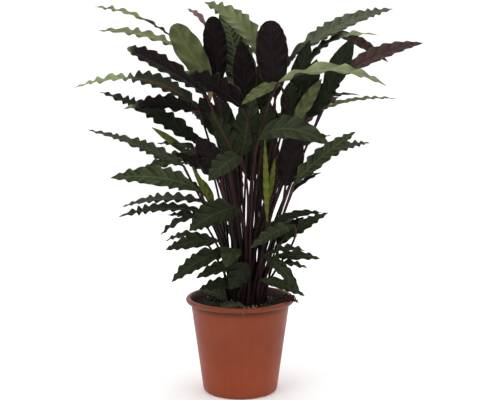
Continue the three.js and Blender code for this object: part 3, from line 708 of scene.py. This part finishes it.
# Materials
class Finish:
    """A material with a Principled shader, and short ways to add nodes to it."""

    def __init__(self, name, roughness, specular, **inputs):
        self.material = bpy.data.materials.new(name)
        self.material.use_nodes = True
        self.tree = self.material.node_tree
        self.shader = self.tree.nodes["Principled BSDF"]
        self.fill(self.shader, Roughness=roughness, Specular_IOR_Level=specular, **inputs)

    def put(self, socket, value):
        if isinstance(value, bpy.types.NodeSocket):
            self.tree.links.new(value, socket)
        else:
            socket.default_value = value

    def fill(self, node, **inputs):
        """Sets or links inputs of a node by their names, with an underscore for each space."""
        for key, value in inputs.items():
            self.put(node.inputs[key.replace("_", " ")], value)

    def node(self, kind, output, **inputs):
        node = self.tree.nodes.new("ShaderNode" + kind)
        self.fill(node, **inputs)
        return node.outputs[output]

    def value(self, name):
        node = self.tree.nodes.new("ShaderNodeAttribute")
        node.attribute_name = name
        return node.outputs["Fac"]

    def math(self, operation, a, b=0.0, clamp=False):
        node = self.tree.nodes.new("ShaderNodeMath")
        node.operation = operation
        node.use_clamp = clamp
        self.put(node.inputs[0], a)
        self.put(node.inputs[1], b)
        return node.outputs[0]

    def times(self, a, b):
        return self.math("MULTIPLY", a, b)

    def noise(self, scale, detail=3.0, roughness=0.55, stretch=None):
        place = self.node("TexCoord", "Object")
        if stretch:
            place = self.node("Mapping", "Vector", Vector=place, Scale=stretch)
        return self.node("TexNoise", "Fac", Vector=place, Scale=scale, Detail=detail, Roughness=roughness)

    def ramp(self, value, low, high, to_low=0.0, to_high=1.0):
        limits = {"From_Min": low, "From_Max": high, "To_Min": to_low, "To_Max": to_high}
        return self.node("MapRange", "Result", Value=value, **limits)

    def mix(self, factor, a, b):
        node = self.tree.nodes.new("ShaderNodeMix")
        node.data_type = "RGBA"
        self.put(node.inputs[0], factor)
        self.put(node.inputs[6], a)
        self.put(node.inputs[7], b)
        return node.outputs[2]

    def blend(self, amount, pair):
        """From the first sRGB colour to the second."""
        return self.mix(amount, linear(pair[0]), linear(pair[1]))

    def cover(self, colour, amount, srgb):
        """The colour with some of an sRGB colour laid over it."""
        return self.mix(amount, colour, linear(srgb))

    def brightness(self, colour, value):
        return self.node("HueSaturation", "Color", Color=colour, Value=value)

    def tinted(self, colour, dark, bright):
        """The colour made darker or brighter by the tint of each leaf or lump."""
        return self.brightness(colour, self.ramp(self.value("tint"), -1, 1, dark, bright))

    def colour(self, value):
        self.fill(self.shader, Base_Color=value)

    def bump(self, height, strength, distance):
        normal = self.node("Bump", "Normal", Height=height, Strength=strength, Distance=distance)
        self.fill(self.shader, Normal=normal)


def leaf_finish(name, deep, light, rib, veins, midrib, sheen, tint):
    """A velvety leaf side: bands of side veins, fine veins between them, mottling and a midrib.
    The crests of the edge waves get a painted highlight and their troughs painted shade, and some leaves
    have a pale end."""
    finish = Finish(name, 0.6, 0.07, Sheen_Weight=sheen, Sheen_Roughness=0.45, Sheen_Tint=tint)
    turns = finish.times(finish.value("pleat"), 2 * math.pi)
    bands = finish.ramp(finish.math("SINE", turns), -1, 1)
    bands = finish.math("POWER", bands, 1.6)
    fine = finish.ramp(finish.math("SINE", finish.times(turns, 5.0)), -1, 1)
    mottling = finish.ramp(finish.noise(55, 4), 0.3, 0.75)
    amount = finish.math("ADD", finish.times(bands, veins * 0.7), finish.times(mottling, 0.5))
    amount = finish.math("ADD", amount, finish.times(fine, 0.12 * veins), clamp=True)
    colour = finish.blend(amount, (deep, light))
    across = finish.value("rib")
    colour = finish.cover(colour, finish.ramp(across, 0.035, 0.09, midrib, 0.0), rib)
    rim = PALE_RIMS.get(name, light)
    colour = finish.cover(colour, finish.ramp(across, 0.93, 1.0, 0.0, 0.45), rim)
    end = finish.value("end")
    colour = finish.cover(colour, finish.ramp(end, 0, 1, 0.0, 0.85), PALE_END)
    colour = finish.cover(colour, finish.ramp(end, -1, 0, 0.9, 0.0), WINGED_STALK)
    # Painted highlight on the crests of the edge waves and painted shade in their troughs
    painted_crest_light = finish.times(finish.math("SINE", finish.times(turns, 0.5)), across)
    colour = finish.brightness(colour, finish.ramp(painted_crest_light, -1, 1, 1 - CREST_PAINTED_HIGHLIGHT, 1 + CREST_PAINTED_HIGHLIGHT))
    finish.colour(finish.tinted(colour, 0.82, 1.2))
    height = finish.math("ADD", finish.times(fine, 0.35), finish.times(finish.noise(1400, 2), 0.5))
    finish.bump(height, 0.35, 0.0004)
    return finish.material


def stalk_finish():
    """Stalks: dark reddish purple, redder towards the blade, streaked along and finely hairy."""
    finish = Finish("stalk", 0.5, 0.12, Sheen_Weight=0.05, Sheen_Roughness=0.5, Sheen_Tint=RED_SHEEN)
    streaks = finish.ramp(finish.noise(160, 3, stretch=(1, 1, 0.08)), 0.35, 0.7)
    low = finish.blend(streaks, STALK_FOOT)
    high = finish.blend(streaks, STALK_NECK)
    colour = finish.mix(finish.ramp(finish.value("rib"), 0.25, 0.95), low, high)
    colour = finish.tinted(colour, 0.75, 1.3)
    reddest = finish.ramp(finish.value("tint"), 0.8, 1.0, 0.0, 0.5)
    finish.colour(finish.cover(colour, reddest, STALK_MAGENTA))
    finish.bump(finish.noise(1600, 2, stretch=(1, 1, 0.3)), 0.4, 0.0004)
    return finish.material


def rib_finish(name, low, high):
    """The midrib under a blade."""
    finish = Finish(name, 0.5, 0.1, Sheen_Weight=0.03, Sheen_Roughness=0.5)
    finish.colour(finish.blend(finish.noise(300, 2), (low, high)))
    finish.bump(finish.noise(1500, 2), 0.3, 0.0003)
    return finish.material


def pot_finish():
    """Moulded brown plastic: faint flow marks, specks, and soil and painted shade where
    pot_soil_and_painted_shade has them.
    """
    finish = Finish("pot_plastic", 0.42, 0.2)
    colour = finish.blend(finish.ramp(finish.noise(14, 3), 0.3, 0.7), POT_BROWN)
    flow = finish.ramp(finish.noise(90, 2, stretch=(1, 1, 0.12)), 0.35, 0.7)
    colour = finish.cover(colour, finish.times(flow, 0.18), POT_FLOW)
    specks = finish.ramp(finish.noise(900, 2), 0.68, 0.74)
    colour = finish.cover(colour, finish.times(specks, 0.25), POT_SPECKS)
    # Painted shade, and soil inside the pot, darken the plastic by the rib value
    finish.colour(finish.cover(colour, finish.times(finish.value("rib"), 0.92), POT_SOIL_AND_SHADE))
    roughness = finish.ramp(finish.noise(45, 4), 0.3, 0.7, 0.36, 0.5)
    finish.fill(finish.shader, Roughness=roughness)
    grain = finish.math("ADD", finish.noise(1200, 2), finish.times(flow, 1.5))
    finish.bump(grain, 0.12, 0.0004)
    return finish.material


def soil_finish():
    """Potting soil: dark fibres and crumbs, with paler specks."""
    finish = Finish("potting_soil", 0.95, 0.15)
    colour = finish.blend(finish.ramp(finish.noise(260, 5, 0.7), 0.35, 0.7), SOIL_BROWN)
    specks = finish.ramp(finish.noise(700, 2), 0.66, 0.72)
    colour = finish.cover(colour, finish.times(specks, 0.5), SOIL_SPECKS)
    finish.colour(finish.tinted(colour, 0.6, 1.5))
    finish.bump(finish.noise(900, 4, 0.7), 0.9, 0.001)
    return finish.material


def plain_finish(name, pair, scale, roughness, grain):
    finish = Finish(name, roughness, 0.3)
    colour = finish.blend(finish.ramp(finish.noise(scale, 3), 0.3, 0.7), pair)
    finish.colour(finish.tinted(colour, 0.8, 1.2))
    finish.bump(finish.noise(grain, 3), 0.5, 0.0006)
    return finish.material


tops = {}
for look, (*measures, _) in LOOKS.items():
    tops[look] = leaf_finish("leaf_" + look, *measures, sheen=0.03, tint=GREEN_SHEEN)
unders = {}
ribs = {}
for look, measures in UNDERSIDES.items():
    unders[look] = leaf_finish("underside_" + look, *measures, sheen=0.02, tint=PURPLE_SHEEN)
    deep, _, rib = measures[:3]
    ribs[look] = rib_finish("midrib_" + look, deep, rib)
stalk_material = stalk_finish()

# The shoots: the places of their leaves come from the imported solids
shoots = {}
for i, (name, *measures) in enumerate(LEAVES):
    special = measures.pop() if isinstance(measures[-1], dict) else {}
    leaf = Leaf(*measures, tint=rng.uniform(-1, 1), in_turn=bool(i % 2), **special)
    shoots.setdefault(name, []).append(leaf)
feet = take_feet(shoots)
for name, leaves in shoots.items():
    solid = node_points("shoot_" + name)
    shape = Shape()
    for i, leaf in enumerate(leaves):
        leaf.stand(feet[name], i, len(leaves))
        find_place(leaf, solid)
        if leaf.turned:
            leaf.turn_to(leaf.turned, leaf.turned)
        under = LOOKS[leaf.look][-1]
        add_blade(shape, leaf, tops[leaf.look], unders[under])
        add_stalk(shape, leaf, ribs[under])
    piece = shape.build("leaves_" + name)
    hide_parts("shoot_" + name)


def add_loose(shape, look, *measures, waves, wave_length):
    """A leaf or a scrap of one that hangs or lies by itself."""
    leaf = Leaf(*measures, look, rng.uniform(-0.5, 0.5), waves=waves, wave_length=wave_length)
    add_blade(shape, leaf, tops[look], unders[LOOKS[look][-1]])


for node, measures, look, slot, waves in (
    ("dry_leaf", DRY_LEAF, "scrap", "dry_leaf", 4.5),
    ("old_leaf", OLD_LEAF, "grey", "leaf", 2.2),
):
    shape = Shape()
    add_loose(shape, look, *measures, waves=waves, wave_length=9)
    piece = shape.build("curled_" + node)
    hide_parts(node)

# The end of an old leaf at the left, and dead scraps on the soil and the rim, most at the right:
# base, tip, width and the way the upper side faces
OLD_END = ((-22, -8, 181), (-80, 14, 195), 27, (0.1, -0.7, 0.7))
SOFT_SCRAPS = (
    ((36, -70, 178), (66, -62, 180), 11, (0.2, -0.4, 0.9)),
    ((58, -58, 177), (84, -44, 182), 10, (-0.3, -0.5, 0.8)),
    ((62, -30, 178), (88, -34, 184), 9, (-0.2, -0.3, 0.9)),
    ((-40, -58, 177), (-70, -46, 181), 10, (0.3, -0.4, 0.8)),
    ((-30, -74, 177), (-52, -76, 180), 9, (0.1, -0.4, 0.9)),
)
DRY_SCRAPS = (
    ((74, -52, 179), (94, -34, 188), 7, (-0.4, -0.5, 0.7)),
    ((84, -28, 181), (99, -26, 191), 5, (-0.3, -0.6, 0.7)),
    ((70, -64, 177), (82, -50, 184), 5, (-0.3, -0.6, 0.7)),
    ((82, -44, 182), (105, -38, 194), 12, (-0.2, -0.8, 0.5)),
    ((92, -42, 188), (112, -44, 182), 9, (0.2, -0.6, 0.8)),
)
shape = Shape()
for look, scraps, bow, waves, wave_length in (
    ("grey", (OLD_END,), 0.08, 2.0, 11),
    ("dark", SOFT_SCRAPS, 0.12, 2.0, 8),
    ("scrap", DRY_SCRAPS, 0.15, 2.2, 7),
):
    for base, tip, width, face in scraps:
        add_loose(shape, look, base, tip, width, bow, face, waves=waves, wave_length=wave_length)
shape.build("dead_scraps")

# A dead sheath, high at the left, that hangs in front of a stalk, at this share of its length
SHEATH_GAP = vector(0, -2, 0)
SHEATH_HANG = vector(-2, -8, -28)
SHEATH_WIDTH = 9
SHEATH_SHARE = 59 / 60
top = shoots["left_high_3"][0].stalk().point(SHEATH_SHARE) + SHEATH_GAP
sheath = (top, top + SHEATH_HANG, SHEATH_WIDTH, 0.05, (-0.2, -1, 0.1))
shape = Shape()
add_loose(shape, "sheath", *sheath, waves=0.5, wave_length=12)
shape.build("hanging_sheath")


# The pot
def arc(x, y, radius, low, high, steps):
    turns = [math.radians(low + (high - low) * i / steps) for i in range(steps + 1)]
    return [(x + radius * math.cos(a), y + radius * math.sin(a)) for a in turns]


def inner_radius(z):
    return BASE_RADIUS + (BODY_TOP_RADIUS - BASE_RADIUS) * z / RIM_FOOT - WALL


def subdivided(profile, longest):
    """The same profile with its long straight stretches cut into shorter ones."""
    points = [profile[0]]
    for a, b in zip(profile, profile[1:]):
        cuts = max(1, math.ceil(math.dist(a, b) / longest))
        for i in range(1, cuts + 1):
            points.append(tuple(p + (q - p) * i / cuts for p, q in zip(a, b)))
    return points


def add_lathe(shape, profile, material, segments, shift=lambda p: p, soil_and_shade=lambda radius, z: 0):
    """Turns a profile of radius and height round Z. Its first and last points lie on the axis.
    Each other point is shifted, and soil_and_shade gives the soil and painted shade at a radius and
    height."""
    points = [vector(0, 0, profile[0][1])]
    for radius, z in profile[1:-1]:
        for x, y in circle(segments):
            points.append(shift(vector(radius * x, radius * y, z)))
    points.append(vector(0, 0, profile[-1][1]))
    rows = len(profile) - 2
    faces = grid_faces(rows, segments, 1, flip=True, wrap=True)
    last = len(points) - 1
    for k in range(segments):
        after = (k + 1) % segments
        faces.append((0, 1 + after, 1 + k))
        faces.append((last, last - segments + k, last - segments + after))
    shape.add(points, faces, material, rib=[soil_and_shade(math.hypot(x, y), z) for x, y, z in points])


def pot_soil_and_painted_shade(radius, z):
    """How much soil and painted shade darken the pot: soil and painted shade on the inside wall,
    painted shade in the groove under the rim, and faint painted shade outside that grows upwards."""
    # Inside the pot and its rim: soil and painted shade on the wall above the soil
    on_wall = z > BASE_ROUNDING and radius < inner_radius(z) + 0.5 * WALL
    in_rim = z > RIM_FOOT + 2 and radius < inner_radius(z) + 2.4
    if on_wall or in_rim:
        return smoothstep(POT_HEIGHT + 4 - z, 0, 4.5)
    # Painted shade in the groove under the rim
    if abs(z - RIM_FOOT) < 1.7 and radius < BODY_TOP_RADIUS + 2.5:
        return 0.9
    # Outside: faint painted shade that grows towards the top and at the rim
    return 0.2 * smoothstep(z, 10, 120) + 0.1 * smoothstep(z, 170, 176)


def cut_drain_holes(pot):
    drills = Shape()
    for x, y in circle(DRAIN_HOLES):
        low = vector(DRAIN_RING * x, DRAIN_RING * y, -1)
        high = low + vector(0, 0, FLOOR_THICKNESS + 2)
        add_tube(drills, [low, high], [DRAIN_RADIUS] * 2, stalk_material, 0, sides=2 * TUBE_SIDES)
    drill = new_object("drill", drills.mesh("drill"))
    cut = pot.modifiers.new("drain_holes", "BOOLEAN")
    cut.operation = "DIFFERENCE"
    cut.solver = "EXACT"
    cut.object = drill
    bpy.context.view_layer.update()
    drilled = pot.evaluated_get(bpy.context.evaluated_depsgraph_get())
    cut_mesh = bpy.data.meshes.new_from_object(drilled)
    pot.modifiers.clear()
    pot.data = cut_mesh
    bpy.data.objects.remove(drill)


POT_SEGMENTS = 144
RIM_FOOT = POT_HEIGHT - RIM_HEIGHT
RIM_ROLL = RIM_HEIGHT / 2
INNER_ROUNDING = BASE_ROUNDING - WALL
# The hollow under the floor, inside the ring that the pot stands on
HOLLOW_HEIGHT = 1.2
HOLLOW_RADIUS = DRAIN_RING + 12
HOLLOW_SLOPE = 2
# How far the corner under the rim is outside the body's top, and how far below the rim's foot
UNDER_RIM = ((-0.2, 1.5), (0.1, 0.4), (1.2, 0))
# Radius and depth below the top of the rim's inner edge
INNER_EDGE = ((97.8, 0.4), (96.6, 1.6), (95.9, 3.5))
inner_foot = inner_radius(BASE_ROUNDING)
pot_profile = [(0, HOLLOW_HEIGHT), (HOLLOW_RADIUS, HOLLOW_HEIGHT), (HOLLOW_RADIUS + HOLLOW_SLOPE, 0)]
pot_profile += arc(BASE_RADIUS - BASE_ROUNDING, BASE_ROUNDING, BASE_ROUNDING, -90, -8, 8)
pot_profile += [(BODY_TOP_RADIUS + out, RIM_FOOT - down) for out, down in UNDER_RIM]
pot_profile += arc(RIM_RADIUS - RIM_ROLL, POT_HEIGHT - RIM_ROLL, RIM_ROLL, -78, 95, 14)
pot_profile += [(radius, POT_HEIGHT - down) for radius, down in INNER_EDGE]
pot_profile += [(inner_radius(RIM_FOOT), RIM_FOOT), (inner_foot, BASE_ROUNDING)]
pot_profile += [(inner_foot - INNER_ROUNDING, FLOOR_THICKNESS), (0, FLOOR_THICKNESS)]
shape = Shape()
add_lathe(shape, subdivided(pot_profile, 12), pot_finish(), POT_SEGMENTS, soil_and_shade=pot_soil_and_painted_shade)
pot = shape.build("moulded_pot", sharp=38)
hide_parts("pot")
cut_drain_holes(pot)


# The soil. Its lumps: height, length and layer of the noise
SOIL_SEGMENTS = 160
SOIL_STEP = 1.9
SOIL_RISE = 0.4
SOIL_LUMPS = ((1.6, 9, 3.0), (0.9, 3.2, 8.0))


def soil_height(x, y):
    dip = SOIL_DIP * smoothstep(math.hypot(x, y), SOIL_FLAT_RADIUS, BODY_TOP_RADIUS)
    lumps = sum(high * noise.noise((x / long, y / long, layer)) for high, long, layer in SOIL_LUMPS)
    return SOIL_TOP + SOIL_RISE + lumps - dip


def settle(point):
    x, y, z = point
    if z > SOIL_TOP - 1:
        return vector(x, y, soil_height(x, y))
    return point


soil_edge = inner_radius(SOIL_TOP - SOIL_DIP) - SOIL_CLEARANCE
soil_foot = inner_foot - SOIL_CLEARANCE
soil_bottom = FLOOR_THICKNESS + SOIL_CLEARANCE
soil_profile = [(0, soil_bottom), (soil_foot - INNER_ROUNDING, soil_bottom)]
soil_profile += [(soil_foot, BASE_ROUNDING), (soil_edge, SOIL_TOP - SOIL_DIP - 1)]
rings = int(soil_edge / SOIL_STEP)
soil_profile += [(soil_edge * (1 - i / rings), SOIL_TOP) for i in range(rings + 1)]
shape = Shape()
soil_material = soil_finish()
add_lathe(shape, soil_profile, soil_material, SOIL_SEGMENTS, settle)
soil = shape.build("potting_soil", sharp=80)
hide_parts("soil")


def lump_template():
    bpy.ops.mesh.primitive_ico_sphere_add(subdivisions=2, radius=1)
    ball = bpy.context.object
    points = np.array([v.co for v in ball.data.vertices])
    faces = [tuple(p.vertices) for p in ball.data.polygons]
    bpy.data.objects.remove(ball)
    return points, faces


def add_lump(shape, centre, size, material, tint):
    """A rough, uneven lump."""
    seed = rng.uniform(0, 50, 3)
    stretch = rng.uniform(0.6, 1.25, 3)
    points = []
    for p in LUMP_POINTS:
        dent = 1 + 0.55 * noise.noise(tuple(p * 1.3 + seed))
        points.append(centre + p * stretch * size * dent)
    shape.add(points, LUMP_FACES, material, tint=tint)


def scatter(name, count, centre, spread, sizes, material):
    """Lumps strewn over the soil, the most of them at the centre given."""
    shape = Shape()
    placed = 0
    while placed < count:
        x, y = rng.normal(centre, spread)
        if math.hypot(x, y) > soil_edge - 3:
            continue
        size = rng.uniform(*sizes)
        place = vector(x, y, soil_height(x, y) + 0.3 * size)
        add_lump(shape, place, size, material, rng.uniform(-1.0, 1.0))
        placed += 1
    shape.build(name, sharp=80)


LUMP_POINTS, LUMP_FACES = lump_template()
perlite = plain_finish("perlite", PERLITE_GREY, scale=500, roughness=0.9, grain=1500)
scatter("soil_crumbs", 420, (0, 0), 46, (0.9, 2.4), soil_material)
scatter("perlite_right", 74, (48, -58), (20, 14), (0.6, 1.8), perlite)
scatter("perlite_loose", 34, (0, 0), 52, (0.5, 1.4), perlite)

# Two straws over the front rim: x, how far each drifts aside, how far it hangs, and its radius
STRAWS = ((12, -6, 13, 1.2), (15, 3, 7, 1.0))
STRAW_ROWS = 24
STRAW_SIDES = 8
straw = plain_finish("straw", STRAW_TAN, scale=300, roughness=0.8, grain=900)
shape = Shape()
rim_y = -(RIM_RADIUS - RIM_ROLL)
shares = [i / STRAW_ROWS for i in range(STRAW_ROWS + 1)]
for x, aside, hang, thick in STRAWS:
    path = Bezier(
        (x - 2, rim_y + 14, SOIL_TOP - 1),
        (x, rim_y + 3, POT_HEIGHT + 13),
        (x + aside, rim_y - 12, POT_HEIGHT + 2),
        (x + aside, -(RIM_RADIUS + 0.6), POT_HEIGHT - hang),
    )
    radii = [thick * (1 - 0.5 * t) for t in shares]
    add_tube(shape, [path.point(t) for t in shares], radii, straw, 0.2, sides=STRAW_SIDES)
shape.build("straw_over_rim")


# Floor, light and camera, in metres and watts
FLOOR_SIZE = 14
FLOOR_GREYS = (0.94, 0.96)
WORLD_STRENGTH = 1.07
CAMERA_PLACE = (0.019, -2.0, 0.645)
CAMERA_TILT = 82.26
LENS = 75.87
SENSOR = 36


def area_light(name, place, aim, size, power):
    lamp = bpy.data.lights.new(name, "AREA")
    lamp.shape = "RECTANGLE"
    lamp.size, lamp.size_y = size
    lamp.energy = power
    light = new_object(name, lamp)
    light.location = place
    light.rotation_euler = (Vector(aim) - Vector(place)).to_track_quat("-Z", "Y").to_euler()


bpy.ops.mesh.primitive_plane_add(size=FLOOR_SIZE)
floor = bpy.context.object
floor.name = "studio_floor"
floor_finish = Finish("studio_floor", 0.9, 0.1)
dark, bright = [(grey, grey, grey, 1) for grey in FLOOR_GREYS]
floor_finish.colour(floor_finish.mix(floor_finish.noise(2), dark, bright))
floor.data.materials.append(floor_finish.material)

world = bpy.data.worlds.new("studio")
bpy.context.scene.world = world
world.use_nodes = True
sky = world.node_tree.nodes["Background"]
sky.inputs["Color"].default_value = (1, 1, 1, 1)
sky.inputs["Strength"].default_value = WORLD_STRENGTH
area_light("key", place=(-1.6, -1.8, 2.4), aim=(0, 0, 0.45), size=(1.4, 1.4), power=16)
area_light("fill", place=(1.9, -1.6, 1.5), aim=(0, 0, 0.4), size=(1.2, 1.6), power=6)
area_light("top", place=(0.1, 0.4, 2.6), aim=(0, 0, 0.5), size=(1.6, 1.2), power=16)

lens = bpy.data.cameras.new("camera")
lens.sensor_width = SENSOR
lens.lens = LENS
camera = new_object("camera", lens)
camera.location = CAMERA_PLACE
camera.rotation_euler = (math.radians(CAMERA_TILT), 0, 0)
bpy.context.scene.camera = camera
bpy.context.scene.view_settings.view_transform = "Standard"
